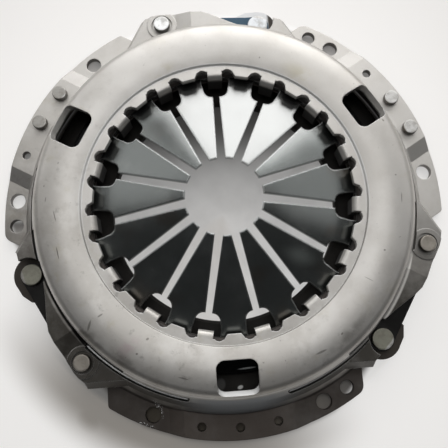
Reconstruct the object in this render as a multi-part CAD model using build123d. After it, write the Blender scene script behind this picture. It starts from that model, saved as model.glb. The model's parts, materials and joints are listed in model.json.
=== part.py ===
"""Single-plate clutch cover assembly: pressed cover, diaphragm spring, cast pressure plate, drive straps.

The origin is the centre of the three feet's mounting plane. +Z points from the flywheel side
towards the release bearing. Angles run counter-clockwise from +X as seen from +Z.
Lengths are millimetres and angles degrees.
"""
from build123d import *
from math import atan, cos, degrees, radians, sin, sqrt, tan
import os

# Layout shared by all the pieces
sectors = 3
foot_angles = [270 + 360 / sectors * i for i in range(sectors)]
strap_angles = [210 + 360 / sectors * i for i in range(sectors)]
fingers = 15
first_finger_angle = 270
finger_pitch = 360 / fingers
finger_angles = [first_finger_angle + finger_pitch * i for i in range(fingers)]
tab_angles = [angle + finger_pitch / 2 for angle in finger_angles]
seat_gap = 0.05             # gap left at curved faces that bear on each other
shank_gap = 0.05            # radial gap round a rivet shank in its own hole
moving_gap = 0.3            # gap between curved faces that move apart

# Cover: the pressed dome
sheet = 4.0                 # steel thickness
rim_top = 35.5              # top of the toothed rim over the mounting plane
rim_inner_r = 74.6          # ring that the teeth and tabs grow from
rim_width = 3.1             # from that ring to the crease before the crowned dome
crown_offset = 12.8         # from the crease to where the dome is highest
crown_rise = 3.1            # dome over the rim
crown_radius = 35.9         # section radius of the dome
crown_start_angle = -19.7   # section angles from the vertical
crown_end_angle = 16.0
shoulder_radius = 6.0       # outside bend from the dome to the wall
wall_draft = 14.0           # steep wall between the feet, from the vertical
foot_wall_draft = 24.2      # flared wall over the feet, from the vertical
crease_top = 29.2           # the pressed channel outside the steep wall, top and floor
crease_floor = 20.2
crease_reach = 18.4         # channel's outer side at its floor, outside the crown
crease_stand = 0.04         # the channel stands this far off the steep wall
crease_start = 15.0         # the channel ends this far from a foot's middle, degrees
crease_ear_clear = 11.0     # and this far from a strap's middle, on the ear's side
crease_tail_clear = 12.0    # and on the ledge's side
foot_wall_half = 34.3       # the flared wall's half width, degrees

# Cover: the rim's teeth, notches and hook tabs
tooth_reach = 2.9           # tip, inside the ring that it grows from
tooth_tip_half = 3.6
tooth_root_reach = 0.6
tooth_root_half = 5.3
notch_reach = 2.1
notch_hole_r = 3.1
notch_offset = 6.35         # degrees from a finger's middle
tab_reach = 4.3
tab_thickness = 3.0
tab_half = 4.1
hook_length = 7.7
hook_thickness = 2.6

# Cover: windows, feet and balance holes
window_inner_reach = 5.7    # inner and outer side, from the crown
window_outer_reach = 10.5
window_half = 10.9
window_corner = 4.5
window_lean = 38.0          # the outer side is cut square to the bent sheet, degrees from upright
window_lean_drop = 6.1      # the leaning side meets the upright cut this far below the crown
foot_width = 12.8476        # flange outside the flared wall
foot_tuck = 2.4647          # and inside the wall's inner face
foot_left_end = -73.4       # along the foot, from its middle
foot_right_end = 71.5
foot_left_corner = 2.5
foot_right_corner = 6.0
foot_raise = 2.5            # the foot's middle stands this far over the bolt pads
raise_half_top = 31.0
raise_half_bottom = 39.4
bolt_edge = 7.0             # from the foot's outer edge to a bolt hole's middle
bolt_hole_r = 4.5
bolt_angle = 23.0           # each side of a foot's middle
dowel_hole_r = 4.0
dowel_angle = 30.1
balance_edge = 6.8
balance_hole_r = 2.5
balance_angles = [-10.0, 0.0, 10.0]

# Cover: the ledges that carry the straps, in a frame turned to each strap's middle
ledge_top = 22.0
ledge_margin = 6.8          # outside the strap's centre line
ledge_tail_raise = 2.5
ledge_fold_high = 11.3
ledge_fold_low = 20.7
skirt_reach_out = 1.5       # the skirt's fold lies this far outside the crown, square to the foot
skirt_drop = 7.5
skirt_run = 3.9
skirt_reach = 82.0          # along the foot, from its middle, under a ledge
ear_skirt_reach = 75.5      # and under an ear
ear_margin = 0.6            # outside the strap's centre line
ear_start = -30.0
ear_cut_r = 9.0             # hollow round the lug rivet's head
pad_seat_r = 8.8            # raised round seat of the pad rivet
pad_seat_rise = 0.6
pad_recess_r = 6.1          # recess in the seat, round the rivet's head
pad_recess_floor = 0.6      # below the ledge's top

# Drive straps
strap_reach = 21.5          # centre line, outside the crown
strap_half_pitch = 29.0     # rivet to the middle of the strap
strap_width = 14.0
leaf_thickness = 0.8
leaves = 3
strap_flat_half = 7.0       # flat of each end, each side of its rivet

# Pressure plate
plate_inner_reach = 26.0    # inner and outer edge, from the ridge
plate_outer_reach = 16.0
friction_face = 4.05        # free-state height over the mounting plane
plate_thickness = 7.5
plate_chamfer = 1.5
ridge_inset = 2.0           # where the spring's rim bears on the plate, inside its edge
ridge_base_half = 3.6
ridge_top_half = 1.6
ridge_crown = 0.3
lug_top_step = 0.95         # below the plate's top
lug_bottom_step = 0.55      # above the friction face
lug_boss_r = 11.6
lug_margin = 11.5           # outside the strap's centre line

# Diaphragm spring
spring_thickness = 2.4
spring_reach = 17.5         # outer edge, outside the fulcrum
spring_inner_r = 20.9
fulcrum_offset = 0.9        # outside the rim's inner ring
wire_r = 2.0
cone_slope = 0.22           # disc part, rise over run
finger_slope = 0.36
tip_slope = 0.33
finger_root_inset = 13.5    # inside the fulcrum
tip_bend_r = 30.0
finger_bend_radius = 60.0   # section radius of the bends at the root and the tip
slot_tip_half = 2.35
slot_root_half = 1.75
slot_head_inner_inset = 14.2
slot_head_outer_inset = 1.5
slot_head_waist_inset = 5.5
slot_head_inner_half = 6.0
slot_head_waist_half = 7.8
slot_head_outer_half = 8.0
slot_head_inner_corner = 4.5
slot_head_outer_corner = 1.5

# Rivets
lug_head_r = 6.05
lug_head_height = 3.0
lug_shank_r = 3.5
lug_foot_r = 5.2
lug_foot_height = 1.8
pad_head_r = 4.65
pad_head_height = 3.8
pad_shank_r = 3.0
pad_foot_r = 5.0
pad_foot_height = 2.5
balance_head_r = 4.3
balance_head_height = 4.0
balance_foot_r = 3.6
balance_foot_height = 1.6
head_edge = 0.7             # rounding of a rivet head's rim
balance_spots = [(150, -10.0), (150, 0.0), (30, 0.0), (30, -10.0)]

# Heights and radii worked out from the sizes above
rim_step_r = rim_inner_r + rim_width
crown_r = rim_step_r + crown_offset
crease_outer = crown_r + crease_reach
tooth_tip_r = rim_inner_r - tooth_reach
tooth_root_r = rim_inner_r - tooth_root_reach
notch_r = rim_inner_r - notch_reach
tab_inner_r = rim_inner_r - tab_reach
hook_reach_r = tab_inner_r + hook_length
window_inner_r = crown_r - window_inner_reach
window_outer_r = crown_r + window_outer_reach
strap_x = crown_r + strap_reach
ledge_outer = strap_x + ledge_margin
ear_outer = strap_x + ear_margin
lug_outer = strap_x + lug_margin
skirt_fold = crown_r + skirt_reach_out
fulcrum_r = rim_inner_r + fulcrum_offset
spring_outer_r = fulcrum_r + spring_reach
ridge_r = spring_outer_r - ridge_inset
plate_inner_r = ridge_r - plate_inner_reach
plate_outer_r = ridge_r + plate_outer_reach
finger_root_r = fulcrum_r - finger_root_inset
slot_head_inner_r = fulcrum_r - slot_head_inner_inset
slot_head_outer_r = fulcrum_r - slot_head_outer_inset
slot_head_waist_r = fulcrum_r - slot_head_waist_inset
rim_bottom = rim_top - sheet
crown_top = rim_top + crown_rise
crown_centre = (crown_r, crown_top - crown_radius)
window_lean_z = crown_top - window_lean_drop
lug_rivet_y = -strap_half_pitch
pad_rivet_y = strap_half_pitch
pack = leaves * leaf_thickness
ledge_bottom = ledge_top - sheet
wall_bottom = ledge_bottom
pad_seat = ledge_top - pad_recess_floor
cone_normal = (sin(atan(cone_slope)), cos(atan(cone_slope)))
upper_wire_z = rim_bottom - seat_gap - wire_r
cone_contact_r = fulcrum_r - cone_normal[0] * (wire_r + seat_gap)
cone_contact_z = upper_wire_z - cone_normal[1] * (wire_r + seat_gap)
plate_top = friction_face + plate_thickness
lug_top = plate_top - lug_top_step
lug_bottom = friction_face + lug_bottom_step
foot_top = sheet
raised_top = foot_top + foot_raise


def spring_top(r):
    """Height of the disc part's upper face at radius r."""
    return cone_contact_z - cone_slope * (r - cone_contact_r)


def spring_drop(slope):
    """Vertical thickness of the spring steel on a face of this slope."""
    return spring_thickness * sqrt(1 + slope**2)


lower_wire_r = fulcrum_r
lower_wire_offset_r = lower_wire_r + cone_normal[0] * (wire_r + seat_gap)
lower_wire_z = (spring_top(lower_wire_offset_r) - spring_drop(cone_slope)
                - cone_normal[1] * (wire_r + seat_gap))
hook_top = lower_wire_z - wire_r - seat_gap
hook_bottom = hook_top - hook_thickness


def section_point(centre, radius, angle):
    """Point on a section arc, with the angle measured from the vertical."""
    return (centre[0] + radius * sin(radians(angle)), centre[1] + radius * cos(radians(angle)))


def ring(points):
    """Full turn of a straight-sided section given as (radius, height)."""
    return revolve(Plane.XZ * make_face(Polyline(*points, close=True)), Axis.Z)


def sector(points, half_angle, middle_angle):
    """Part turn of a straight-sided section, centred on middle_angle."""
    turned = revolve(Plane.XZ * make_face(Polyline(*points, close=True)), Axis.Z, 2 * half_angle)
    return Rot(0, 0, middle_angle - half_angle) * turned


def slab(points, bottom, top):
    """Upright prism with a plan outline."""
    return extrude(Plane.XY.offset(bottom) * make_face(Polyline(*points, close=True)), top - bottom)


def beam(points, start_x, end_x):
    """Prism along X with its section given as (y, z)."""
    return extrude(Plane.YZ.offset(start_x) * make_face(Polyline(*points, close=True)), end_x - start_x)


def peg(radius, bottom, top, x=0.0, y=0.0):
    """Upright cylinder between two heights."""
    return Pos(x, y, (bottom + top) / 2) * Cylinder(radius, top - bottom)


def on_circle(radius, angle):
    """Plan position at a radius and an angle."""
    return (radius * cos(radians(angle)), radius * sin(radians(angle)))


def shoulder_centre():
    """Centre of the bend that joins the dome to its wall."""
    return section_point(section_point(crown_centre, crown_radius, crown_end_angle),
                         -shoulder_radius, crown_end_angle)


def wall_line(draft, inset, bottom):
    """Start and end of a wall's face, inset into the sheet, from the shoulder to a height."""
    top = section_point(shoulder_centre(), shoulder_radius - inset, 90 - draft)
    return top, (top[0] + (top[1] - bottom) * tan(radians(draft)), bottom)


foot_outer_r = wall_line(foot_wall_draft, 0, foot_top)[1][0] + foot_width
foot_inner_r = wall_line(foot_wall_draft, sheet, 0)[1][0] - foot_tuck
bolt_circle_r = foot_outer_r - bolt_edge
balance_circle_r = foot_outer_r - balance_edge


def dome_sector(draft, bottom, half_angle, middle_angle):
    """Part turn of the rim, crowned dome, shoulder and one wall as a single sheet."""
    centre = shoulder_centre()
    crown_middle = (crown_start_angle + crown_end_angle) / 2
    bend_middle = (crown_end_angle + 90 - draft) / 2
    inner_radius = crown_radius - sheet
    base = max(bottom, foot_top)
    outer_top, outer_foot = wall_line(draft, 0, base)
    inner_top, inner_foot = wall_line(draft, sheet, bottom)
    outer_end = [outer_foot, (outer_foot[0], bottom)] if base > bottom else [outer_foot]
    crown_start = section_point(crown_centre, crown_radius, crown_start_angle)
    crown_end = section_point(crown_centre, crown_radius, crown_end_angle)
    inner_start = section_point(crown_centre, inner_radius, crown_start_angle)
    inner_end = section_point(crown_centre, inner_radius, crown_end_angle)
    edges = [
        Polyline((rim_inner_r, rim_bottom), (rim_inner_r, rim_top), (rim_step_r, rim_top), crown_start),
        ThreePointArc(crown_start, section_point(crown_centre, crown_radius, crown_middle), crown_end),
        ThreePointArc(crown_end, section_point(centre, shoulder_radius, bend_middle), outer_top),
        Polyline(outer_top, *outer_end, inner_foot, inner_top),
        ThreePointArc(inner_top, section_point(centre, shoulder_radius - sheet, bend_middle), inner_end),
        ThreePointArc(inner_end, section_point(crown_centre, inner_radius, crown_middle), inner_start),
        Polyline(inner_start, (inner_start[0] - sheet / 3, rim_bottom), (rim_inner_r, rim_bottom)),
    ]
    section = make_face([edge for part in edges for edge in part.edges()])
    return Rot(0, 0, middle_angle - half_angle) * revolve(Plane.XZ * section, Axis.Z, 2 * half_angle)


def crease(angle):
    """Cutters for the pressed channel outside the steep wall, on both sides of one strap's tail."""
    steep_top, _ = wall_line(wall_draft, 0, wall_bottom)
    slope = tan(radians(wall_draft))
    start_r = steep_top[0] + (steep_top[1] - crease_top) * slope + crease_stand
    floor_r = steep_top[0] + (steep_top[1] - crease_floor) * slope + crease_stand
    height = crease_top - crease_floor
    groove = [(start_r, crease_top), (floor_r, crease_floor), (crease_outer, crease_floor),
              (crease_outer + height * slope, crease_top)]
    reach = 180 / sectors - crease_start
    end_r = (crease_outer - floor_r) / 2
    cutters = []
    for side, clear in ((-1, crease_ear_clear), (1, crease_tail_clear)):
        cutters.append(sector(groove, (reach - clear) / 2, angle + side * (reach + clear) / 2))
        x, y = on_circle(crease_outer - end_r, angle + side * reach)
        cutters.append(Pos(x, y, crease_floor + height / 2) * Cone(end_r, end_r + height * slope, height))
    return cutters


def foot_section(bottom, top):
    """Long section of a foot whose middle is raised, between two base heights."""
    low, high = raise_half_bottom, raise_half_top
    reach = foot_outer_r
    return [(-reach, bottom), (-low, bottom), (-high, bottom + foot_raise), (high, bottom + foot_raise),
            (low, bottom), (reach, bottom), (reach, top), (low, top), (high, top + foot_raise),
            (-high, top + foot_raise), (-low, top), (-reach, top)]


def foot(angle):
    """One mounting foot, before its holes."""
    height = 2 * sheet + foot_raise
    length = foot_right_end - foot_left_end
    middle = (foot_left_end + foot_right_end) / 2
    plan = Circle(foot_outer_r) & Pos(foot_outer_r, middle) * Rectangle(foot_outer_r, length)
    plan = fillet(plan.vertices().sort_by(Axis.Y)[:2].sort_by(Axis.X)[-1], foot_left_corner)
    plan = fillet(plan.vertices().sort_by(Axis.Y)[-2:].sort_by(Axis.X)[-1], foot_right_corner)
    plan -= Circle(foot_inner_r)
    plate = beam(foot_section(0, foot_top), 0, foot_outer_r + 1)
    return Rot(0, 0, angle) * (plate & extrude(Plane.XY.offset(-1) * plan, height))


def foot_holes(angle):
    """Cutters for the bolt, dowel and balance holes of one foot."""
    height = sheet + foot_raise
    holes = [(bolt_circle_r, -bolt_angle, bolt_hole_r), (bolt_circle_r, bolt_angle, bolt_hole_r),
             (bolt_circle_r, dowel_angle, dowel_hole_r)]
    holes += [(balance_circle_r, spot, balance_hole_r) for spot in balance_angles]
    return [peg(hole_r, -1, height + 1, *on_circle(radius, angle + spot)) for radius, spot, hole_r in holes]


def under_foot(angle):
    """Room under the raised middle of one foot."""
    low, high = raise_half_bottom, raise_half_top
    room = beam([(-low, -1), (-low, 0), (-high, foot_raise), (high, foot_raise), (low, 0), (low, -1)],
                crown_r, foot_outer_r + 1)
    return Rot(0, 0, angle) * room


def window(angle):
    """Cutter for one rounded window through the dome."""
    size = window_outer_r - window_inner_r
    plan = RectangleRounded(size, 2 * window_half, window_corner)
    upright = extrude(Plane.XY.offset(wall_bottom) * plan, crown_top - wall_bottom + sheet)
    upright = Pos((window_inner_r + window_outer_r) / 2, 0, 0) * upright
    width = 0.6 * size
    side_plan = Pos(-width / 2, 0) * RectangleRounded(width, 2 * window_half, window_corner)
    leaning = Rot(0, window_lean, 0) * extrude(Plane.XY.offset(-sheet) * side_plan, 3 * sheet)
    return Rot(0, 0, angle) * (upright + Pos(window_outer_r, 0, window_lean_z) * leaning)


def ledge(angle):
    """Stepped ledge that carries the fixed end of one strap, with its folded skirt."""
    _, wall_foot = wall_line(wall_draft, sheet, wall_bottom)
    inside = wall_foot[0] + 1
    tail_top = ledge_top + ledge_tail_raise
    low, high = ledge_fold_low, ledge_fold_high
    far = 2 * skirt_reach
    section = [(-far, tail_top - sheet), (high, tail_top - sheet), (low, ledge_bottom), (far, ledge_bottom),
               (far, ledge_top), (low, ledge_top), (high, tail_top), (-far, tail_top)]
    tilt = radians(180 / sectors)
    start = inside - 2 * sheet
    fold_y = [(skirt_fold - x * cos(tilt)) / sin(tilt) for x in (start, ledge_outer - 1.8)]
    plan = [(start, -19.7), (strap_x - 5.4, -19.7), (strap_x - 1.7, -11.7), (strap_x + 4.1, -0.6),
            (strap_x + 6.3, 5.0),
            (ledge_outer, ledge_fold_high), (ledge_outer, 31.0), (ledge_outer - 0.6, 35.0),
            (ledge_outer - 1.8, fold_y[1]), (start, fold_y[0])]
    shelf = beam(section, start - sheet, ledge_outer + sheet)
    shelf += peg(pad_seat_r, ledge_bottom + 1, ledge_top + pad_seat_rise, strap_x, pad_rivet_y)
    shelf &= slab(plan, 0, rim_top)
    shelf -= peg(inside, 0, rim_top)
    shelf -= peg(pad_recess_r, pad_seat, rim_top, strap_x, pad_rivet_y)
    shelf -= peg(pad_shank_r + shank_gap, 0, rim_top, strap_x, pad_rivet_y)
    return Rot(0, 0, angle) * shelf


def ear(angle):
    """Small ear on the other side of one strap, hollowed round the lug rivet's head."""
    _, wall_foot = wall_line(wall_draft, sheet, wall_bottom)
    inside = wall_foot[0] + 1
    tilt = radians(180 / sectors)
    start = inside - 2 * sheet
    corner = (skirt_fold * cos(tilt) + ear_skirt_reach * sin(tilt), ear_skirt_reach * cos(tilt) - skirt_fold * sin(tilt))
    plan = [(start, ear_start), (ear_outer, ear_start), (ear_outer, lug_rivet_y - ear_cut_r), corner,
            (start, (start * cos(tilt) - skirt_fold) / sin(tilt))]
    shelf = slab(plan, ledge_bottom, ledge_top)
    shelf -= peg(inside, 0, rim_top)
    shelf -= peg(ear_cut_r, 0, rim_top, strap_x, lug_rivet_y)
    return Rot(0, 0, angle) * shelf


def skirt(angle, side):
    """Fold that hangs from a ledge or an ear beside one end of a foot."""
    lip = sheet * 0.9
    rise = sqrt(skirt_drop**2 + skirt_run**2)
    across = (lip * skirt_drop / rise, lip * skirt_run / rise)
    section = [(skirt_fold - lip, ledge_top), (skirt_fold, ledge_top),
               (skirt_fold + skirt_run, ledge_top - skirt_drop),
               (skirt_fold + skirt_run - across[0], ledge_top - skirt_drop - across[1]),
               (skirt_fold - across[0], ledge_bottom), (skirt_fold - lip, ledge_bottom)]
    start = foot_outer_r * 0.45
    reach = ear_skirt_reach if side > 0 else skirt_reach
    face = Plane.XZ * make_face(Polyline(*section, close=True))
    fold = Pos(0, side * start, 0) * extrude(face, -side * (reach - start))
    if side > 0:
        tilt = 180 / sectors
        fold -= Rot(0, 0, tilt) * peg(lug_boss_r + 2 * moving_gap, 0, ledge_bottom, strap_x, lug_rivet_y)
    return Rot(0, 0, angle) * fold


def teeth_and_tabs():
    """Rim teeth over the fingers and the tabs bent down between them."""
    rim_join = rim_inner_r + 1
    tooth = slab([(tooth_tip_r, -tooth_tip_half), (tooth_root_r, -tooth_root_half), (rim_join, -tooth_root_half),
                  (rim_join, tooth_root_half), (tooth_root_r, tooth_root_half), (tooth_tip_r, tooth_tip_half)],
                 rim_bottom, rim_top)
    tab_outer_r = tab_inner_r + tab_thickness
    section = make_face(Polyline((rim_join, rim_top), (tab_inner_r, rim_top), (tab_inner_r, hook_bottom),
                                 (hook_reach_r, hook_bottom), (hook_reach_r, hook_top), (tab_outer_r, hook_top),
                                 (tab_outer_r, rim_bottom), (rim_join, rim_bottom), close=True))
    bends = [vertex for vertex in section.vertices() if abs(vertex.X - tab_inner_r) < 0.01]
    section = fillet(bends, tab_thickness * 0.95)
    tab = Pos(0, tab_half, 0) * extrude(Plane.XZ * section, 2 * tab_half)
    pieces = [Rot(0, 0, angle) * tooth for angle in finger_angles]
    pieces += [Rot(0, 0, angle) * tab for angle in tab_angles]
    return pieces


def notches():
    """Cutters for the round relief notches between the teeth and the tabs."""
    cutters = []
    for angle in finger_angles:
        for side in (-1, 1):
            x, y = on_circle(notch_r, angle + side * notch_offset)
            cutters.append(peg(notch_hole_r, rim_bottom - 1, rim_top + 1, x, y))
    return cutters


def cover():
    """The pressed steel cover."""
    strap_half = 180 / sectors - foot_wall_half
    body = dome_sector(wall_draft, wall_bottom, strap_half, strap_angles[0])
    body += ([dome_sector(wall_draft, wall_bottom, strap_half, angle) for angle in strap_angles[1:]]
             + [dome_sector(foot_wall_draft, 0, foot_wall_half, angle) for angle in foot_angles])
    body += [ledge(angle) for angle in strap_angles]
    body += [ear(angle) for angle in strap_angles]
    body += [skirt(angle, side) for angle in foot_angles for side in (-1, 1)]
    body -= [cutter for angle in strap_angles for cutter in crease(angle)]
    body -= [under_foot(angle) for angle in foot_angles]
    body += [foot(angle) for angle in foot_angles]
    body -= [window(angle) for angle in foot_angles] + [hole for angle in foot_angles for hole in foot_holes(angle)]
    body += teeth_and_tabs()
    body -= notches()
    return body


def spring_slot():
    """Cutter for one slot between two fingers, with the wide head that a tab passes through."""
    top = rim_top + crown_r
    start = spring_inner_r / 2
    slot = slab([(start, -slot_tip_half), (slot_head_inner_r + 1, -slot_root_half),
                 (slot_head_inner_r + 1, slot_root_half), (start, slot_tip_half)], 0, top)
    head = make_face(Polyline((slot_head_inner_r, -slot_head_inner_half), (slot_head_inner_r, slot_head_inner_half),
                              (slot_head_waist_r, slot_head_waist_half), (slot_head_outer_r, slot_head_outer_half),
                              (slot_head_outer_r, -slot_head_outer_half), (slot_head_waist_r, -slot_head_waist_half),
                              close=True))
    head = fillet(head.vertices().group_by(Axis.X)[0], slot_head_inner_corner)
    head = fillet(head.vertices().group_by(Axis.X)[-1], slot_head_outer_corner)
    return slot + extrude(head, top)


def diaphragm_spring():
    """Coned spring steel disc with fifteen release fingers."""
    root_z = spring_top(finger_root_r)
    bend_z = root_z + finger_slope * (finger_root_r - tip_bend_r)
    tip_z = bend_z + tip_slope * (tip_bend_r - spring_inner_r)
    mean_root = (cone_slope + finger_slope) / 2
    mean_bend = (finger_slope + tip_slope) / 2
    section = make_face(Polyline((spring_inner_r, tip_z), (tip_bend_r, bend_z), (finger_root_r, root_z),
                                 (spring_outer_r, spring_top(spring_outer_r)),
                                 (spring_outer_r, spring_top(spring_outer_r) - spring_drop(cone_slope)),
                                 (finger_root_r, root_z - spring_drop(mean_root)),
                                 (tip_bend_r, bend_z - spring_drop(mean_bend)),
                                 (spring_inner_r, tip_z - spring_drop(tip_slope)), close=True))
    bends = [vertex for vertex in section.vertices()
             if min(abs(vertex.X - tip_bend_r), abs(vertex.X - finger_root_r)) < 0.01]
    disc = revolve(Plane.XZ * fillet(bends, finger_bend_radius), Axis.Z)
    return disc - [Rot(0, 0, angle) * spring_slot() for angle in tab_angles]


def fulcrum_ring(radius, height):
    """Round wire ring that the spring tilts on."""
    return Pos(0, 0, height) * Torus(radius, wire_r)


def lug(angle):
    """Lug of the pressure plate with its rivet hole and the recess for the rivet's foot."""
    inside = plate_outer_r - 7
    plan = [(inside, -36.5), (strap_x - 4, -38.2), (strap_x + 1.2, -38.6), (strap_x + 4, -37.1), (lug_outer, -30.5),
            (lug_outer, -22.5), (strap_x + 9, -16.5), (strap_x, -13.0), (inside, -10.0)]
    plan = slab(plan, lug_bottom, lug_top) + peg(lug_boss_r, lug_bottom, lug_top, strap_x, lug_rivet_y)
    plan -= peg(plate_outer_r - 4, 0, rim_top)
    plan -= peg(lug_shank_r + shank_gap, 0, rim_top, strap_x, lug_rivet_y)
    recess_r = lug_foot_r + moving_gap
    plan -= peg(recess_r, lug_bottom - 1, lug_bottom + lug_foot_height, strap_x, lug_rivet_y)
    return Rot(0, 0, angle) * plan


def pressure_plate():
    """Cast iron pressure plate with its fulcrum ridge and three lugs."""
    chamfer_size = plate_chamfer
    body = ring([(plate_inner_r, friction_face + 1), (plate_inner_r + 1, friction_face),
                 (plate_outer_r - 1, friction_face), (plate_outer_r, friction_face + 1),
                 (plate_outer_r, plate_top - chamfer_size), (plate_outer_r - chamfer_size, plate_top),
                 (plate_inner_r + chamfer_size, plate_top), (plate_inner_r, plate_top - chamfer_size)])
    ridge_top = spring_top(ridge_r) - spring_drop(cone_slope) - moving_gap * 0.7
    half_base, half_top = ridge_base_half, ridge_top_half
    body += ring([(ridge_r - half_base, plate_top - 1), (ridge_r - half_top, ridge_top - 2 * ridge_crown),
                  (ridge_r - half_top / 2, ridge_top - ridge_crown / 2), (ridge_r, ridge_top - ridge_crown / 4),
                  (ridge_r + half_top / 2, ridge_top - ridge_crown), (ridge_r + half_top, ridge_top - 3 * ridge_crown),
                  (ridge_r + half_base, plate_top - 1)])
    return body + [lug(angle) for angle in strap_angles]


def strap_leaf(angle, level):
    """One spring leaf of a drive strap, from the lug up to the underside of the ledge."""
    low = lug_top + level * leaf_thickness
    high = ledge_bottom - pack + level * leaf_thickness
    inner_end = strap_half_pitch - strap_flat_half
    outer_end = strap_half_pitch + strap_width / 2
    section = [(-outer_end, low), (-inner_end, low), (inner_end, high), (outer_end, high),
               (outer_end, high + leaf_thickness), (inner_end, high + leaf_thickness),
               (-inner_end, low + leaf_thickness), (-outer_end, low + leaf_thickness)]
    strip = beam(section, strap_x - strap_width / 2, strap_x + strap_width / 2)
    plan = SlotOverall(2 * outer_end, strap_width, rotation=90)
    strip = strip & (Pos(strap_x, 0, 0) * extrude(plan, rim_top))
    strip -= peg(lug_shank_r + moving_gap, 0, rim_top, strap_x, lug_rivet_y)
    strip -= peg(pad_shank_r + shank_gap, 0, rim_top, strap_x, pad_rivet_y)
    return Rot(0, 0, angle) * strip


def rivet(head_r, head_bottom, head_height, shank_r, foot_r, foot_top_z, foot_height):
    """Solid rivet with a flat round head on top and a formed foot below."""
    edge = head_edge
    foot_z = foot_top_z - foot_height
    return ring([(0, foot_z), (foot_r - edge, foot_z), (foot_r, foot_z + edge), (foot_r, foot_top_z),
                 (shank_r, foot_top_z), (shank_r, head_bottom), (head_r, head_bottom),
                 (head_r, head_bottom + head_height - edge), (head_r - 0.3 * edge, head_bottom + head_height - 0.3 * edge),
                 (head_r - edge, head_bottom + head_height), (0, head_bottom + head_height)])


def lug_rivet(angle):
    """Rivet that holds a strap on its lug."""
    body = rivet(lug_head_r, lug_top + pack, lug_head_height, lug_shank_r,
                 lug_foot_r, lug_bottom + lug_foot_height, lug_foot_height)
    return Rot(0, 0, angle) * Pos(strap_x, lug_rivet_y, 0) * body


def pad_rivet(angle):
    """Rivet that holds a strap under its ledge."""
    body = rivet(pad_head_r, pad_seat, pad_head_height, pad_shank_r,
                 pad_foot_r, ledge_bottom - pack, pad_foot_height)
    return Rot(0, 0, angle) * Pos(strap_x, pad_rivet_y, 0) * body


def balance_rivet(foot_angle, spot):
    """Flat-headed balance weight rivet in one of a foot's small holes."""
    body = rivet(balance_head_r, raised_top, balance_head_height, balance_hole_r - shank_gap,
                 balance_foot_r, foot_raise, balance_foot_height)
    x, y = on_circle(balance_circle_r, foot_angle + spot)
    return Pos(x, y, 0) * body


nodes = {
    "cover": cover(),
    "diaphragm_spring": diaphragm_spring(),
    "fulcrum_ring_upper": fulcrum_ring(fulcrum_r, upper_wire_z),
    "fulcrum_ring_lower": fulcrum_ring(lower_wire_r, lower_wire_z),
    "pressure_plate": pressure_plate(),
}
for number, angle in enumerate(strap_angles, start=1):
    for level, place in enumerate(("bottom", "middle", "top")):
        nodes[f"strap_{number}_leaf_{place}"] = strap_leaf(angle, level)
    nodes[f"lug_rivet_{number}"] = lug_rivet(angle)
    nodes[f"strap_rivet_{number}"] = pad_rivet(angle)
for number, (foot_angle, spot) in enumerate(balance_spots, start=1):
    nodes[f"balance_rivet_{number}"] = balance_rivet(foot_angle, spot)

os.makedirs("parts", exist_ok=True)
for name, shape in nodes.items():
    export_step(shape, f"parts/{name}.step")
    print(name, round(shape.volume), "mm3")
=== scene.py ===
# Clutch cover assembly: finishes, small parts, floor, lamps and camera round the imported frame.
# Metres, with the mounting plane at z = 0 and the release side towards +Z.
import json
from math import copysign, cos, hypot, pi, radians, sin

import bmesh
import bpy
from mathutils import Matrix, Vector


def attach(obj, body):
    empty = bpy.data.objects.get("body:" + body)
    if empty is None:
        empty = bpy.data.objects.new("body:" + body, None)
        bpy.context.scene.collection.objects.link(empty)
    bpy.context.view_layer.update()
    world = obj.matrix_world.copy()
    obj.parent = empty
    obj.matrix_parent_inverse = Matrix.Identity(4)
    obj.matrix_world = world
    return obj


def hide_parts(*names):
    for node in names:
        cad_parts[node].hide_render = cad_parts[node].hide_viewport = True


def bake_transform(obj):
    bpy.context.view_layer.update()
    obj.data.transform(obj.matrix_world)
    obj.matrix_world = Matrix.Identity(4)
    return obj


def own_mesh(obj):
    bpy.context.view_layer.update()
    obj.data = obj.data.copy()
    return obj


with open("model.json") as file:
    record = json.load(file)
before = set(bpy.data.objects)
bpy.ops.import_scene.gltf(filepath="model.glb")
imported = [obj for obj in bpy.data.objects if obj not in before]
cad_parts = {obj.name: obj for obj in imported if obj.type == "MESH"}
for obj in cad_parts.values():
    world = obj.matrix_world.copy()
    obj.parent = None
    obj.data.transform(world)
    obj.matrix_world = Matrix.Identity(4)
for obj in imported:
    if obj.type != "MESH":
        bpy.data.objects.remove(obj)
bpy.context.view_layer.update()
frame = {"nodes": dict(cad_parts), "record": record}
nodes = frame["nodes"]
scene = bpy.context.scene
mm = 0.001
strapAngles = (210, 330, 90)
print("frame loaded:", len(nodes), "nodes")


class Value:
    # wraps an output socket, so that sums on values add Math nodes
    def __init__(self, shade, socket):
        self.shade = shade
        self.socket = socket

    def math(self, operation, other=None, swap=False):
        pair = [self] if other is None else [self, other]
        if swap:
            pair.reverse()
        return self.shade.node("ShaderNodeMath", {"operation": operation}, dict(enumerate(pair)))

    def __add__(self, other):
        return self.math("ADD", other)

    def __sub__(self, other):
        return self.math("SUBTRACT", other)

    def __rsub__(self, other):
        return self.math("SUBTRACT", other, swap=True)

    def __mul__(self, other):
        return self.math("MULTIPLY", other)

    def __pow__(self, other):
        return self.math("POWER", other)

    def __abs__(self):
        return self.math("ABSOLUTE")

    __radd__ = __add__
    __rmul__ = __mul__


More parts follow.
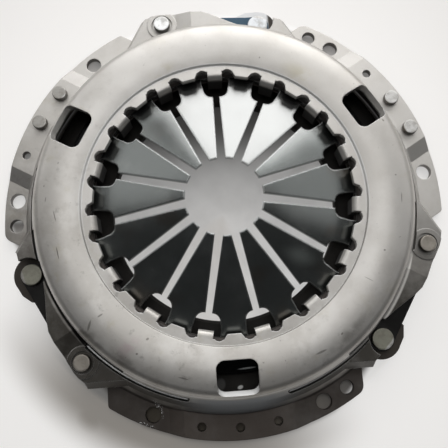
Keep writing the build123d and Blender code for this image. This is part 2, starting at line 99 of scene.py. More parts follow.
class Shade:
    def __init__(self, name):
        self.material = bpy.data.materials.new(name)
        self.material.use_nodes = True
        self.tree = self.material.node_tree
        self.tree.nodes.clear()
        self.place = self.node("ShaderNodeTexCoord", out="Object")

    def node(self, kind, settings=None, inputs=None, out=0):
        # any node: settings first, then the values or links of its sockets
        made = self.tree.nodes.new(kind)
        for key, value in (settings or {}).items():
            setattr(made, key, value)
        for key, value in (inputs or {}).items():
            socket = made.inputs[key]
            if isinstance(value, Value):
                self.tree.links.new(value.socket, socket)
            elif isinstance(value, tuple) and len(value) == 3 and socket.type == "RGBA":
                socket.default_value = (*value, 1)
            else:
                socket.default_value = value
        return Value(self, made.outputs[out]) if made.outputs else made

    def axes(self):
        # x, y, z and the distance from the clutch's axis
        split = self.node("ShaderNodeSeparateXYZ", None, {0: self.place}).socket.node
        x, y, z = (Value(self, split.outputs[name]) for name in "XYZ")
        return x, y, z, (x * x + y * y) ** 0.5

    def noise(self, scale, detail=3, roughness=0.5, stretch=None):
        place = self.place
        if stretch:
            place = self.node("ShaderNodeMapping", None, {"Vector": place, "Scale": stretch})
        return self.node("ShaderNodeTexNoise", None,
                         {"Vector": place, "Scale": scale, "Detail": detail, "Roughness": roughness}, "Fac")

    def ramp(self, value, low, high):
        # 0 at low and 1 at high, smooth between; low may be above high
        start, end, first, last = (low, high, 0.0, 1.0) if low < high else (high, low, 1.0, 0.0)
        return self.node("ShaderNodeMapRange", {"interpolation_type": "SMOOTHSTEP"},
                         {"Value": value, "From Min": start, "From Max": end,
                          "To Min": first, "To Max": last})

    def band(self, value, middle, outside, inside):
        # 1 where value lies within inside of middle, and 0 beyond outside
        return self.ramp(abs(value - middle), outside, inside)

    def mix(self, factor, first, second, blend="MIX"):
        return self.node("ShaderNodeMix", {"data_type": "RGBA", "blend_type": blend, "clamp_factor": True},
                         {0: factor, 6: first, 7: second}, 2)

    def mark(self, x, y, length, width, turn, softness=0.5):
        # soft long spot on the upper side: 1 in its middle, in mm and degrees
        spot = self.node("ShaderNodeMapping", {"vector_type": "TEXTURE"},
                         {"Vector": self.place, "Location": (x * mm, y * mm, 0),
                          "Rotation": (0, 0, radians(turn)),
                          "Scale": (length * mm / 2, width * mm / 2, 10)})
        distance = self.node("ShaderNodeVectorMath", {"operation": "LENGTH"}, {0: spot}, "Value")
        return self.ramp(distance, 1.0, softness)

    def part(self, vector, axis):
        split = self.node("ShaderNodeSeparateXYZ", None, {0: vector}).socket.node
        return Value(self, split.outputs[axis])

    def facing(self):
        # 1 on level upper sides, 0 on upright ones and -1 underneath
        return self.part(self.node("ShaderNodeNewGeometry", out="Normal"), "Z")

    def edges(self, radius, samples=4):
        # rounded-edge normal, and a mask that is 1 on sharp edges
        soft = self.node("ShaderNodeBevel", {"samples": samples}, {"Radius": radius})
        flat = self.node("ShaderNodeNewGeometry", out="Normal")
        match = self.node("ShaderNodeVectorMath", {"operation": "DOT_PRODUCT"}, {0: soft, 1: flat}, "Value")
        return soft, self.ramp(1 - match, 0.01, 0.16)

    def finish(self, colour, roughness, metallic, height, strength, distance, soft):
        bump = self.node("ShaderNodeBump", None,
                         {"Strength": strength, "Distance": distance, "Height": height, "Normal": soft})
        shader = self.node("ShaderNodeBsdfPrincipled", None,
                           {"Base Color": colour, "Roughness": roughness, "Metallic": metallic,
                            "Normal": bump})
        self.node("ShaderNodeOutputMaterial", None, {"Surface": shader})
        return self.material


coverLook = {
    "steel": (0.625, 0.605, 0.575),
    "cloud": (0.46, 0.435, 0.40),
    # dirt, scratches and pits, and also painted shade where the masks below put it
    "grimeAndShade": (0.10, 0.088, 0.075),
    # near black of painted shade in the wall, the channel and inside the toothed rim
    "shadeBlack": (0.010, 0.009, 0.008),
    # painted shade on the lower feet
    "foot": (0.066, 0.053, 0.045),
    "ledge": (0.058, 0.052, 0.043),
    # blue-grey of a painted reflection on the flared wall
    "slope": (0.26, 0.275, 0.29),
    "hole": (0.035, 0.028, 0.024),
    # white of the painted highlights and glints
    "highlightWhite": (0.95, 0.95, 0.94),
    "tan": (0.46, 0.42, 0.30),
    "pink": (0.50, 0.41, 0.42),
    "edge": (0.86, 0.84, 0.81),
    "footMiddle": (0.16, 0.13, 0.11),
    "padSlope": (0.28, 0.27, 0.26),
    "roughness": 0.48,
    # radii: the crease inside the dome with its thin line, and the channel's floor and upper side
    "creaseRadius": 0.0780,
    "lineRadius": 0.0779,
    "channelRadius": 0.1080,
    "channelSideRadius": 0.1047,
    # the flared wall's line in section: its radius at z = 0, and how far it leans in for its height
    "flareRadius": 0.11945,
    "flareLean": 0.4494,
    # x, y, length, width and turn of each scratch and pit, in mm and degrees, and how dark it is
    "marks": ((26.0, 79.7, 1.2, 1.0, 70, 0.8), (91.0, 37.9, 2.2, 1.2, -50, 0.9),
              (93.8, 6.2, 1.4, 1.1, 0, 0.7), (95.5, -6.5, 7.0, 0.7, 84, 0.7),
              (-95.9, 6.5, 3.6, 0.8, 80, 0.5), (-91.1, -3.0, 7.5, 0.8, 102, 0.6),
              (-90.0, -23.0, 8.5, 0.8, 100, 0.75), (-74.8, -62.0, 7.5, 1.6, 70, 0.6),
              (-68.8, -57.2, 4.0, 1.2, 30, 0.6), (-50.8, -78.1, 1.6, 1.2, 0, 0.7),
              (-45.0, -71.0, 2.2, 1.6, 30, 0.6), (-27.7, -92.1, 7.0, 1.0, -18, 0.55),
              (43.8, -84.2, 8.0, 1.4, 20, 0.6), (55.4, -75.8, 2.0, 1.2, 45, 0.6),
              (82.7, -34.2, 1.6, 1.2, 0, 0.7), (72.6, -48.8, 6.5, 0.5, -32, 0.5),
              (-88.5, 26.3, 1.6, 1.1, 60, 0.4), (-96.6, 14.1, 1.6, 0.9, 80, 0.5)),
    # wider stains: x, y, length, width, turn, strength, and which colour
    "stains": ((47.8, 67.6, 30.0, 15.0, -40, 0.60, "tan"), (-30.0, 76.0, 22.0, 8.0, 20, 0.45, "tan"),
               (-55.1, -74.2, 20.0, 13.0, 40, 0.60, "pink"), (-79.0, -66.0, 34.0, 14.0, 135, 0.60, "grimeAndShade"),
               (-60.0, -80.0, 40.0, 10.0, 145, 0.45, "grimeAndShade"), (60.0, -76.0, 46.0, 10.0, 40, 0.42, "grimeAndShade"),
               (-98.0, -14.0, 10.0, 40.0, 8, 0.45, "cloud"), (84.0, -40.0, 30.0, 22.0, 65, 0.45, "cloud")),
}


def coverSteel():
    look = coverLook
    shade = Shade("pressed_steel")
    x, y, z, radius = shade.axes()
    ramp = shade.ramp
    soft, edge = shade.edges(0.0007)
    upward = shade.facing()
    cloud = shade.noise(28, 4, 0.6)
    smear = shade.noise(90, 5, 0.65)
    grain = shade.noise(900, 2, 0.5)
    specks = shade.noise(420, 3, 0.7)
    # cloudy handling marks, then the single stains, scratches and pits
    dirty = ramp(x * -0.64 + y * -0.77, -0.040, 0.090) * 0.6 + 0.4
    colour = shade.mix(ramp(cloud, 0.42, 0.60) * dirty * 0.55, look["steel"], look["cloud"])
    colour = shade.mix(ramp(smear, 0.50, 0.66) * dirty * 0.5, colour, look["cloud"])
    tanned = ramp(shade.noise(60, 5, 0.7, (1, 1, 3)), 0.56, 0.70)
    colour = shade.mix(tanned * dirty * 0.30, colour, look["tan"])
    grimy = ramp(shade.noise(160, 4, 0.7), 0.58, 0.70)
    colour = shade.mix(grimy * dirty * dirty * 0.30, colour, look["grimeAndShade"])
    colour = shade.mix(ramp(specks, 0.68, 0.75) * 0.5, colour, look["grimeAndShade"])
    top = ramp(z, 0.030, 0.034)
    broken = ramp(smear, 0.36, 0.56)
    for markX, markY, length, width, turn, strength, name in look["stains"]:
        stain = shade.mark(markX, markY, length, width, turn, 0.1) * broken * top * strength
        colour = shade.mix(stain, colour, look[name])
    for markX, markY, length, width, turn, strength in look["marks"]:
        mark = shade.mark(markX, markY, length, width, turn) * top * strength
        colour = shade.mix(mark, colour, look["grimeAndShade"])
    # painted whiter sheen towards the window, and a painted highlight that pales the rim crease on its
    # upper side
    bright = ramp(x * 0.8 + y * 0.6, 0.030, 0.095)
    colour = shade.mix(bright * top * 0.34, colour, look["cloud"])
    rimTop = ramp(z, 0.0345, 0.0352)
    creaseHighlight = shade.band(radius, look["creaseRadius"], 0.0013, 0.0004) * rimTop * ramp(y, -0.030, 0.020)
    colour = shade.mix(creaseHighlight * 0.6, colour, look["highlightWhite"])
    # a thin painted shade line in the crease on its lower side
    creaseShadeLine = shade.band(radius, look["lineRadius"], 0.0006, 0.0002) * rimTop * ramp(y, 0.010, -0.020)
    colour = shade.mix(creaseShadeLine * 0.45, colour, look["grimeAndShade"])
    # low down on the lower left, oily dirt mixed with painted shade; the ledges darker, most towards -Y;
    # painted shade on the shoulder, on the wall and in the channel
    corner = ramp(x * -0.62 + y * -0.78, 0.00, 0.105)
    low = ramp(y, -0.015, -0.085)
    below = ramp(z, 0.0325, 0.0285)
    colour = shade.mix(below * corner * (ramp(smear, 0.30, 0.62) * 0.3 + 0.5), colour, look["grimeAndShade"])
    shelf = ramp(radius, 0.1085, 0.1095) * ramp(z, 0.0135, 0.0150) * below
    dull = ramp(y, 0.015, -0.070) * 0.80 + 0.16
    colour = shade.mix(shelf * dull * (ramp(smear, 0.30, 0.60) * 0.15 + 0.9), colour, look["ledge"])
    # painted shade on the lower shoulder, which faces away from the window
    shoulderShade = ramp(radius, 0.0995, 0.1025) * ramp(z, 0.0300, 0.0325)
    colour = shade.mix(shoulderShade * low * 0.35, colour, look["grimeAndShade"])
    # painted shade, near black, on the steep wall and in the channel
    wallDepth = look["flareRadius"] - z * look["flareLean"] - radius
    wallShade = ramp(wallDepth, 0.0003, 0.0009) * ramp(z, 0.0320, 0.0305) * ramp(z, 0.0195, 0.0200)
    colour = shade.mix(wallShade * (corner * 0.55 + low * 0.2 + 0.4), colour, look["shadeBlack"])
    # painted highlight lines along the channel's edges
    channelHighlight = (shade.band(radius, look["channelRadius"], 0.0006, 0.0002) * ramp(z, 0.0216, 0.0208)
              + shade.band(radius, look["channelSideRadius"], 0.0006, 0.0002) * 0.5)
    channelHighlight = channelHighlight * ramp(z, 0.0190, 0.0200) * ramp(z, 0.0345, 0.0335) * corner * ramp(smear, 0.30, 0.40)
    colour = shade.mix(channelHighlight, colour, look["highlightWhite"])
    # painted reflection: blue-grey on the flared wall's lower middle
    slope = ramp(z, 0.0065, 0.0075) * below * (1 - wallShade) * ramp(radius, 0.1185, 0.1180)
    colour = shade.mix(slope * low * ramp(abs(x), 0.040, 0.010), colour, look["slope"])
    # painted shade on the lower feet, which the dome hides from the window, paler across their middles
    lowerFeetShade = ramp(z, 0.0095, 0.0060) * ramp(y, -0.045, -0.085)
    colour = shade.mix(lowerFeetShade * (ramp(cloud, 0.30, 0.65) * 0.2 + 0.78), colour, look["foot"])
    colour = shade.mix(lowerFeetShade * shade.band(x, -0.004, 0.040, 0.028) * 0.35, colour, look["footMiddle"])
    # painted glints near the lower left foot
    paintedGlints = shade.mark(-45.0, -110.0, 14.0, 5.0, -72) + shade.mark(-52.0, -119.0, 14.0, 2.5, -24)
    colour = shade.mix(paintedGlints * ramp(shade.noise(1300, 1, 0.5), 0.60, 0.68), colour, look["highlightWhite"])
    # painted shade on the walls of the feet's holes, and dulled slopes of their raised middles
    pads = ramp(z, 0.0070, 0.0064) * ramp(radius, 0.1170, 0.1180) * ramp(y, -0.085, -0.045)
    colour = shade.mix(pads * ramp(abs(upward), 0.7, 0.4) * 0.9, colour, look["hole"])
    colour = shade.mix(pads * 0.18, colour, look["cloud"])
    colour = shade.mix(pads * ramp(upward, 0.995, 0.975) * 0.5, colour, look["padSlope"])
    # painted shade: black inside the toothed rim, and darker under the sheet
    innerShade = ramp(radius, 0.0770, 0.0755) * ramp(z, 0.0345, 0.0295)
    colour = shade.mix(innerShade * 0.97, colour, look["shadeBlack"])
    colour = shade.mix(ramp(upward, -0.15, -0.5) * 0.75, colour, look["grimeAndShade"])
    # bare metal on the edges, with a painted highlight on the edges that face the window and on the
    # windows' lower cut edges
    windowward = ramp(shade.part(soft, "Y"), 0.02, 0.20)
    colour = shade.mix(edge * (1 - innerShade) * (1 - lowerFeetShade) * (1 - wallShade) * 0.5, colour, look["edge"])
    outward = shade.node("ShaderNodeVectorMath", {"operation": "DOT_PRODUCT"},
                         {0: soft, 1: shade.place}, "Value")
    cut = ramp(outward, -0.020, -0.045) * ramp(radius, 0.0930, 0.0960) * ramp(z, 0.0260, 0.0275)
    edgeHighlight = cut * (low * 0.75 + 0.15) + edge * windowward * top * 0.9
    colour = shade.mix(edgeHighlight, colour, look["highlightWhite"])
    roughness = look["roughness"] + (cloud - 0.5) * 0.18 + (grain - 0.5) * 0.12 + lowerFeetShade * 0.15 + innerShade * 0.3
    metallic = (0.85 - innerShade * 0.6 - lowerFeetShade * 0.5 - edgeHighlight * 0.6 - creaseHighlight * 0.5 - shelf * low * 0.4
                - channelHighlight * 0.5)
    return shade.finish(colour, roughness, metallic, grain + smear, 0.12, 0.0002, soft)


springLook = {
    "steel": (0.17, 0.18, 0.175),
    "haze": (0.30, 0.31, 0.30),
    "smear": (0.50, 0.54, 0.51),
    "brown": (0.14, 0.11, 0.085),
    "bright": (0.80, 0.81, 0.80),
    "window": (0.275, 0.278, 0.273),
    "rimShade": (0.012, 0.012, 0.012),
    "gleam": (0.75, 0.75, 0.74),
    "roughness": 0.24,
}


def springSteel():
    look = springLook
    shade = Shade("spring_steel")
    x, y, _, radius = shade.axes()
    soft, edge = shade.edges(0.0015)
    edge = shade.ramp(edge, 0.0, 0.3)
    cloud = shade.noise(45, 4, 0.6)
    patch = shade.noise(30, 2, 0.5)
    grain = shade.noise(700, 3, 0.6)
    colour = shade.mix(shade.ramp(cloud, 0.45, 0.75) * 0.35, look["steel"], look["haze"])
    colour = shade.mix(shade.ramp(patch, 0.56, 0.70) * 0.5, colour, look["brown"])
    colour = shade.mix(shade.mark(38.0, -33.5, 26.0, 13.0, -20, 0.0) * 0.75, colour, look["smear"])
    # painted reflection of the window, paler edges that are partly wear and partly painted highlight
    # towards the window, and one painted highlight streak under a window of the cover
    towards = (x * 0.21 + y * 0.98) * (radius + 0.001) ** -1
    colour = shade.mix(shade.ramp(towards, 0.60, 0.90), colour, look["window"])
    lit = shade.ramp(shade.part(soft, "Y"), 0.05, 0.35)
    colour = shade.mix(edge * (lit * 0.7 + 0.3), colour, look["bright"])
    # painted shade: near black on the spring's rim under the cover
    colour = shade.mix(shade.ramp(radius, 0.0735, 0.0765), colour, look["rimShade"])
    colour = shade.mix(shade.mark(5.6, -90.5, 12.0, 1.2, 3), colour, look["gleam"])
    roughness = look["roughness"] + (cloud - 0.5) * 0.14 + (grain - 0.5) * 0.06 + edge * 0.12
    return shade.finish(colour, roughness, 0.97 - edge * lit * 0.7, grain, 0.08, 0.0001, soft)


ironLook = {
    "black": (0.026, 0.023, 0.020),
    "brown": (0.060, 0.050, 0.041),
    "ground": (0.33, 0.32, 0.31),
    "glareWhite": (0.88, 0.88, 0.88),
    "gleam": (0.95, 0.95, 0.93),
}


def castIron():
    look = ironLook
    shade = Shade("cast_iron")
    x, y, z, radius = shade.axes()
    soft, _ = shade.edges(0.0007)
    cloud = shade.noise(70, 4, 0.6)
    grain = shade.noise(650, 4, 0.65)
    lugs = shade.ramp(radius, 0.104, 0.107)
    colour = shade.mix(lugs * (shade.ramp(cloud, 0.3, 0.6) * 0.5 + 0.5), look["black"], look["brown"])
    # painted glare: the upper lug is paler where it mirrors the window, but for its end beside the rivet,
    # which lies in shade
    glareWhite = lugs * shade.ramp(y, 0.098, 0.104) * shade.ramp(x, 0.0370, 0.0350)
    colour = shade.mix(glareWhite, colour, look["glareWhite"])
    # painted glints and a pale patch on the plate under a window of the cover
    gleams = shade.mark(1.5, -101.5, 4.0, 2.6, 20) + shade.mark(-9.0, -99.0, 6.0, 8.0, 0) * 0.12
    colour = shade.mix(gleams, colour, look["gleam"])
    # the ground friction face shows fine turning rings
    rings = shade.node("ShaderNodeTexNoise", {"noise_dimensions": "1D"},
                       {"W": radius * 900, "Detail": 3.0}, "Fac")
    ground = shade.ramp(z, 0.0048, 0.0043) * shade.ramp(radius, 0.1080, 0.1074)
    machined = shade.mix(shade.ramp(rings, 0.35, 0.7) * 0.5, look["ground"], look["brown"])
    colour = shade.mix(ground, colour, machined)
    roughness = 0.66 - ground * 0.26 + (grain - 0.5) * 0.2
    metallic = 0.4 + ground * 0.5 - glareWhite * 0.4
    height = grain * (1 - ground) + rings * ground * 0.2
    return shade.finish(colour, roughness, metallic, height, 0.35, 0.0004, soft)


rivetFinish = {
    # the balance rivets, which sit farther out than the others
    "weightClean": (0.64, 0.63, 0.61),
    "weightOily": (0.40, 0.385, 0.36),
    "spots": (0.2, 0.18, 0.15),
    # painted shade on the rivets' sides
    "side": (0.05, 0.043, 0.036),
}


def rivetSteel(name, oilyShaded, litColour, roughness, rim):
    # oily and darker towards -Y, paler towards +Y as painted light, with painted shade on the sides
    shade = Shade(name)
    x, y, _, radius = shade.axes()
    soft, edge = shade.edges(0.0004)
    cloud = shade.noise(260, 4, 0.65)
    grain = shade.noise(500, 3, 0.6)
    colour = shade.mix(shade.ramp(y, 0.035, 0.085), oilyShaded, litColour)
    weights = shade.ramp(radius, 0.1195, 0.1205)
    weight = shade.mix(shade.ramp(x, 0.05, -0.05), rivetFinish["weightClean"], rivetFinish["weightOily"])
    colour = shade.mix(weights, colour, weight)
    colour = shade.mix(shade.ramp(cloud, 0.42, 0.66) * 0.45, colour, rivetFinish["spots"])
    colour = shade.mix(edge * 0.4, colour, rim)
    shadedSides = shade.ramp(shade.facing(), 0.75, 0.35)
    colour = shade.mix(shadedSides * 0.8, colour, rivetFinish["side"])
    return shade.finish(colour, roughness + (grain - 0.5) * 0.2, 0.6, grain + cloud, 0.3, 0.0002, soft)


def darkSteel(name, base, second, roughness, metallic, upper=None):
    # upper is the colour towards +Y, where there is one
    shade = Shade(name)
    _, y, _, _ = shade.axes()
    soft, _ = shade.edges(0.0002)
    cloud = shade.noise(90, 4, 0.6)
    grain = shade.noise(450, 3, 0.6)
    colour = shade.mix(shade.ramp(cloud, 0.35, 0.7), base, second)
    if upper:
        colour = shade.mix(shade.ramp(y, 0.06, 0.10), colour, upper)
    return shade.finish(colour, roughness + (grain - 0.5) * 0.16, metallic, grain, 0.15, 0.0001, soft)


finishes = {
    "cover_steel": coverSteel(),
    "spring_steel": springSteel(),
    # the wire's near-black colour stands partly for the painted shade it sits in
    "wire_steel": darkSteel("wire_steel", (0.030, 0.026, 0.024), (0.050, 0.040, 0.034), 0.5, 0.5),
    "plate_iron": castIron(),
    "strap_steel": darkSteel("strap_steel", (0.022, 0.021, 0.020), (0.014, 0.013, 0.013), 0.34, 0.8,
                             (0.05, 0.085, 0.12)),
    "lug_rivet_steel": rivetSteel("dulled_zinc", (0.30, 0.295, 0.24), (0.72, 0.74, 0.76), 0.46,
                                  (0.50, 0.50, 0.43)),
    "rivet_steel": rivetSteel("rivet_steel", (0.34, 0.31, 0.27), (0.90, 0.90, 0.89), 0.45,
                              (0.55, 0.53, 0.49)),
}
print("finishes made:", len(finishes))


def paint(piece, slotName):
    piece.data.materials.clear()
    piece.data.materials.append(finishes[slotName])
    return piece


slotOf = {part["node"]: part["material_slot"] for part in frame["record"]["subparts"]}
for name, node in nodes.items():
    paint(node, slotOf[name])
print("carried-over nodes painted:", len(nodes))


def pieceFrom(mesh, name, node, body=None):
    # turns a finished bmesh into a piece that replaces a carried-over node
    data = bpy.data.meshes.new(name)
    mesh.to_mesh(data)
    mesh.free()
    piece = bpy.data.objects.new(name, data)
    scene.collection.objects.link(piece)
    paint(piece, slotOf[node])
    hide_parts(node)
    if body:
        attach(piece, body)
    return piece


def softEdges(mesh, sharp=30):
    # smooth faces, split at the edges that turn more than sharp degrees
    for face in mesh.faces:
        face.smooth = True
    for edge in mesh.edges:
        edge.smooth = edge.calc_face_angle(0) < radians(sharp)


strapLook = {
    # in mm: centre line from the clutch's axis, half the rivets' distance, and the leaf itself
    "reach": 112.0,
    "half": 29.0,
    "width": 14.0,
    "thick": 0.76,
    "pitch": 0.8,
    "flat": 7.0,
    "low": 10.6,
    "high": 15.6,
    "cuts": 28,
}


def atStrap(angle, x=0.0, y=0.0):
    # matrix that carries a shape from a strap's own frame to its place
    return Matrix.Rotation(radians(angle), 4, "Z") @ Matrix.Translation((x * mm, y * mm, 0))


def makeLeaf(name, node, angle, level):
    look = strapLook
    mesh = bmesh.new()
    bmesh.ops.create_circle(mesh, cap_ends=True, radius=look["width"] / 2 * mm, segments=32,
                            matrix=Matrix.Rotation(pi / 32, 4, "Z"))
    # pulled apart into a strip with round ends, and cut across so that it bends
    for vert in mesh.verts:
        vert.co.y += copysign(look["half"] * mm, vert.co.y)
    bend = look["half"] - look["flat"]
    for step in range(look["cuts"] + 1):
        across = (-bend + 2 * bend * step / look["cuts"]) * mm
        everything = mesh.verts[:] + mesh.edges[:] + mesh.faces[:]
        bmesh.ops.bisect_plane(mesh, geom=everything, plane_co=(0, across, 0), plane_no=(0, 1, 0))
    upper = bmesh.ops.extrude_face_region(mesh, geom=mesh.faces[:])["geom"]
    upperVerts = [part for part in upper if isinstance(part, bmesh.types.BMVert)]
    bmesh.ops.translate(mesh, vec=(0, 0, look["thick"] * mm), verts=upperVerts)
    bmesh.ops.recalc_face_normals(mesh, faces=mesh.faces[:])
    for vert in mesh.verts:
        share = min(max((vert.co.y / mm + bend) / (2 * bend), 0), 1)
        vert.co.z += (look["low"] + (look["high"] - look["low"]) * share + level * look["pitch"]) * mm
    bmesh.ops.transform(mesh, matrix=atStrap(angle, look["reach"]), verts=mesh.verts)
    softEdges(mesh)
    piece = pieceFrom(mesh, name, node)
    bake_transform(piece)


for number, angle in enumerate(strapAngles, start=1):
    for level, place in enumerate(("bottom", "middle", "top")):
        makeLeaf(f"strap{number}Leaf{place.title()}", f"strap_{number}_leaf_{place}", angle, level)
print("strap leaves made")


rivetLook = {
    # radius, bottom and top of the head, radius of the shank, radius, top and bottom of the foot,
    # and radius and depth of the dish, in mm
    "lug": (6.05, 13.0, 16.0, 3.5, 5.2, 6.4, 4.6, 5.2, 0.0),
    "pad": (4.65, 21.4, 25.2, 3.0, 5.0, 15.6, 13.1, 3.4, 0.1),
    "balance": (4.3, 6.5, 10.5, 2.45, 3.6, 2.5, 0.9, 3.4, 0.0),
    "edge": 0.55,
    "spots": {"lug": (112.0, -29.0), "pad": (112.0, 29.0)},
    "balanceSpots": ((150, -10), (150, 0), (30, 0), (30, -10)),
    "balanceCircle": 123.7,
}


def makeRivet(name, node, kind, matrix, body):
    headR, headLow, headTop, shankR, footR, footTop, footLow, dishR, dish = rivetLook[kind]
    mesh = bmesh.new()
    profile = [(0, footLow), (footR, footLow), (footR, footTop), (shankR, footTop), (shankR, headLow),
               (headR, headLow), (headR, headTop), (dishR, headTop), (dishR * 0.6, headTop - dish),
               (0, headTop - dish)]
    verts = [mesh.verts.new((r * mm, 0, z * mm)) for r, z in profile]
    edges = [mesh.edges.new(pair) for pair in zip(verts, verts[1:])]
    bmesh.ops.spin(mesh, geom=verts + edges, cent=(0, 0, 0), axis=(0, 0, 1), dvec=(0, 0, 0),
                   angle=2 * pi, steps=40, use_merge=True, use_duplicate=False)
    bmesh.ops.remove_doubles(mesh, verts=mesh.verts[:], dist=1e-6)
    bmesh.ops.recalc_face_normals(mesh, faces=mesh.faces[:])
    sharp = [edge for edge in mesh.edges if edge.is_manifold and edge.calc_face_angle(0) > radians(50)
             and hypot(*edge.verts[0].co.xy) > (shankR + 0.2) * mm]
    bmesh.ops.bevel(mesh, geom=sharp, offset=rivetLook["edge"] * mm, offset_type="OFFSET", segments=3,
                    profile=0.5, affect="EDGES", material=-1, clamp_overlap=True)
    softEdges(mesh)
    bmesh.ops.transform(mesh, matrix=matrix, verts=mesh.verts)
    pieceFrom(mesh, name, node, body)


for number, angle in enumerate(strapAngles, start=1):
    makeRivet(f"lugRivet{number}", f"lug_rivet_{number}", "lug",
              atStrap(angle, *rivetLook["spots"]["lug"]), "plate")
    makeRivet(f"padRivet{number}", f"strap_rivet_{number}", "pad",
              atStrap(angle, *rivetLook["spots"]["pad"]), "cover_side")
for number, (footAngle, spot) in enumerate(rivetLook["balanceSpots"], start=1):
    makeRivet(f"balanceRivet{number}", f"balance_rivet_{number}", "balance",
              atStrap(footAngle + spot, rivetLook["balanceCircle"]), "cover_side")
print("rivets made")


def makeSpring():
    # the carried-over spring with its doubles merged into one skin
    mesh = bmesh.new()
    mesh.from_mesh(nodes["diaphragm_spring"].data)
    bmesh.ops.remove_doubles(mesh, verts=mesh.verts[:], dist=2e-6)
    softEdges(mesh)
    piece = pieceFrom(mesh, "diaphragmSpring", "diaphragm_spring", "cover_side")
    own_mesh(piece)


makeSpring()
print("spring made")


stageLook = {
    "floor": (0.46, 0.44, 0.42),
    "shadow": (0.30, 0.25, 0.19),
    # painted shade under the cover
    "under": (0.10, 0.088, 0.070),
    "size": 3.0,
    "drop": -0.0002,
    # which way the painted shadow falls, and the painted shadow patch beside the lower left ledge
    "shadowWay": (-0.342, -0.940),
    "shadowPatch": (-84.0, -112.0, 62.0, 36.0, -40, 0.1),
    # how much farther out the cover reaches at its feet
    "footReach": 0.014,
    # glow outside the cover: level, then its change along x, y, x*x, x*y and y*y, in metres,
    # which stops changing at glowReach
    "glow": (0.643, -0.054, -0.264, -3.702, -0.153, -3.408),
    "glowReach": 0.2,
    "glowColour": (1.0, 0.995, 0.985),
    "side": 0.5,
    "middle": (0.20, 0.48),
}


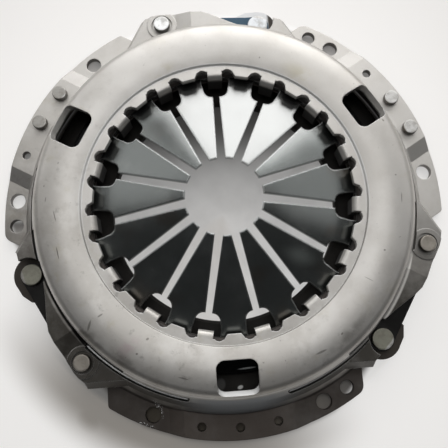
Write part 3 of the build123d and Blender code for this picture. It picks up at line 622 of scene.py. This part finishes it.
def makeFloor():
    look = stageLook
    mesh = bmesh.new()
    bmesh.ops.create_grid(mesh, x_segments=1, y_segments=1, size=look["size"])
    data = bpy.data.meshes.new("floor")
    mesh.to_mesh(data)
    mesh.free()
    floor = bpy.data.objects.new("floor", data)
    floor.location.z = look["drop"]
    scene.collection.objects.link(floor)
    shade = Shade("floor")
    ramp = shade.ramp
    x, y, _, radius = shade.axes()
    rays = shade.node("ShaderNodeLightPath", out="Is Camera Ray").socket.node
    seen = Value(shade, rays.outputs["Is Camera Ray"])
    for kind in ("Is Glossy Ray", "Is Transmission Ray"):
        seen = seen.math("MAXIMUM", Value(shade, rays.outputs[kind]))
    # glow for camera, glossy and transmission rays, as painted light: paler all round, and under the cover
    # only at its sides, in the middle and at its upper feet
    level, alongX, alongY, squareX, cross, squareY = look["glow"]
    reach = look["glowReach"]
    nearX, nearY = (part.math("MINIMUM", reach).math("MAXIMUM", -reach) for part in (x, y))
    around = (nearX * alongX + nearY * alongY + nearX * nearX * squareX + nearX * nearY * cross
              + nearY * nearY * squareY + level)
    wayX, wayY = look["shadowWay"]
    shadow = ramp((x * wayX + y * wayY) * (radius + 0.001) ** -1, 0.60, 0.96) * ramp(radius, 0.162, 0.138)
    shadow = shadow.math("MAXIMUM", shade.mark(*look["shadowPatch"]))
    # the cover reaches farther out at its feet, every third of a turn, than at its straps
    sine = y * (radius + 0.001) ** -1
    foot = ((sine * 3 - sine * sine * sine * 4 + 1) * 0.8).math("MINIMUM", 1.0)
    outside = ramp(radius - foot * look["footReach"], 0.114, 0.120)
    around = around.math("MAXIMUM", 0.0) * (1 - shadow * 0.8) * outside
    side = (ramp(abs(x), 0.095, 0.120) * ramp(radius, 0.134, 0.127)
            * shade.band(y, 0.015, 0.014, 0.008) * look["side"])
    top, bottom = look["middle"]
    middle = ramp(radius, 0.075, 0.066) * (ramp(y, 0.055, -0.060) * (bottom - top) + top)
    boreShade = ramp(y, 0.020, 0.058) * ramp(radius, 0.080, 0.070)
    mottle = (ramp(shade.noise(60, 3, 0.6), 0.3, 0.7) * 0.16 + 0.92) * (1 - boreShade * 0.85)
    upper = ramp(radius, 0.131, 0.127) * ramp(radius, 0.112, 0.116) * ramp(y, 0.025, 0.045) * 0.10
    # painted brown shadow on the lower left, and painted shade darkest under the lower foot and in the
    # upper side of the bore
    lowerShade = ramp(radius, 0.131, 0.127) * ramp(y, -0.070, -0.090) * (ramp(x, 0.05, -0.02) * 0.55 + 0.4)
    colour = shade.mix(shadow * 0.8, look["floor"], look["shadow"])
    colour = shade.mix(lowerShade.math("MAXIMUM", boreShade * 0.8), colour, look["under"])
    glowing = seen * (around + (side + upper + middle) * mottle)
    glow = shade.mix(glowing, (0.0, 0.0, 0.0), look["glowColour"])
    body = shade.node("ShaderNodeBsdfPrincipled", None,
                      {"Base Color": colour, "Roughness": 0.9, "Specular IOR Level": 0.1,
                       "Emission Color": glow, "Emission Strength": 1.0})
    shade.node("ShaderNodeOutputMaterial", None, {"Surface": body})
    data.materials.append(shade.material)


lamps = {
    # azimuth, height angle, distance, width, height, watts, all aimed at the middle
    "window": (78, 30, 1.0, 1.1, 0.6, 7.1),
    "windowSide": (20, 32, 1.1, 0.7, 0.6, 1.25),
    "windowFar": (142, 32, 1.1, 0.7, 0.6, 1.6),
    "ceiling": (90, 78, 1.3, 0.9, 0.9, 4.2),
}
roomLook = {"colour": (0.95, 0.98, 1.0), "strength": 0.064}


def makeLamps():
    for name, (azimuth, tilt, distance, width, height, watts) in lamps.items():
        data = bpy.data.lights.new(name, "AREA")
        data.shape = "RECTANGLE"
        data.size = width
        data.size_y = height
        data.energy = watts
        lamp = bpy.data.objects.new(name, data)
        turn, rise = radians(azimuth), radians(tilt)
        towards = Vector((cos(turn) * cos(rise), sin(turn) * cos(rise), sin(rise)))
        lamp.location = towards * distance
        lamp.rotation_euler = (-towards).to_track_quat("-Z", "Y").to_euler()
        scene.collection.objects.link(lamp)
    world = bpy.data.worlds.new("room")
    world.use_nodes = True
    background = world.node_tree.nodes["Background"]
    background.inputs["Color"].default_value = (*roomLook["colour"], 1)
    background.inputs["Strength"].default_value = roomLook["strength"]
    scene.world = world


cameraSpot = {
    "place": (-0.006158, -0.065594, 0.333999),
    "rows": ((0.99717793, 0.07319555, -0.01669069),
             (-0.07497819, 0.98222878, -0.17206073),
             (0.00379999, 0.1728266, 0.98494494)),
    "lens": 45.19,
}


def makeCamera():
    data = bpy.data.cameras.new("camera")
    data.lens = cameraSpot["lens"]
    data.sensor_width = 36
    camera = bpy.data.objects.new("camera", data)
    camera.matrix_world = Matrix.Translation(cameraSpot["place"]) @ Matrix(cameraSpot["rows"]).to_4x4()
    scene.collection.objects.link(camera)
    scene.camera = camera


makeFloor()
makeLamps()
makeCamera()
scene.view_settings.view_transform = "Standard"
print("stage set")
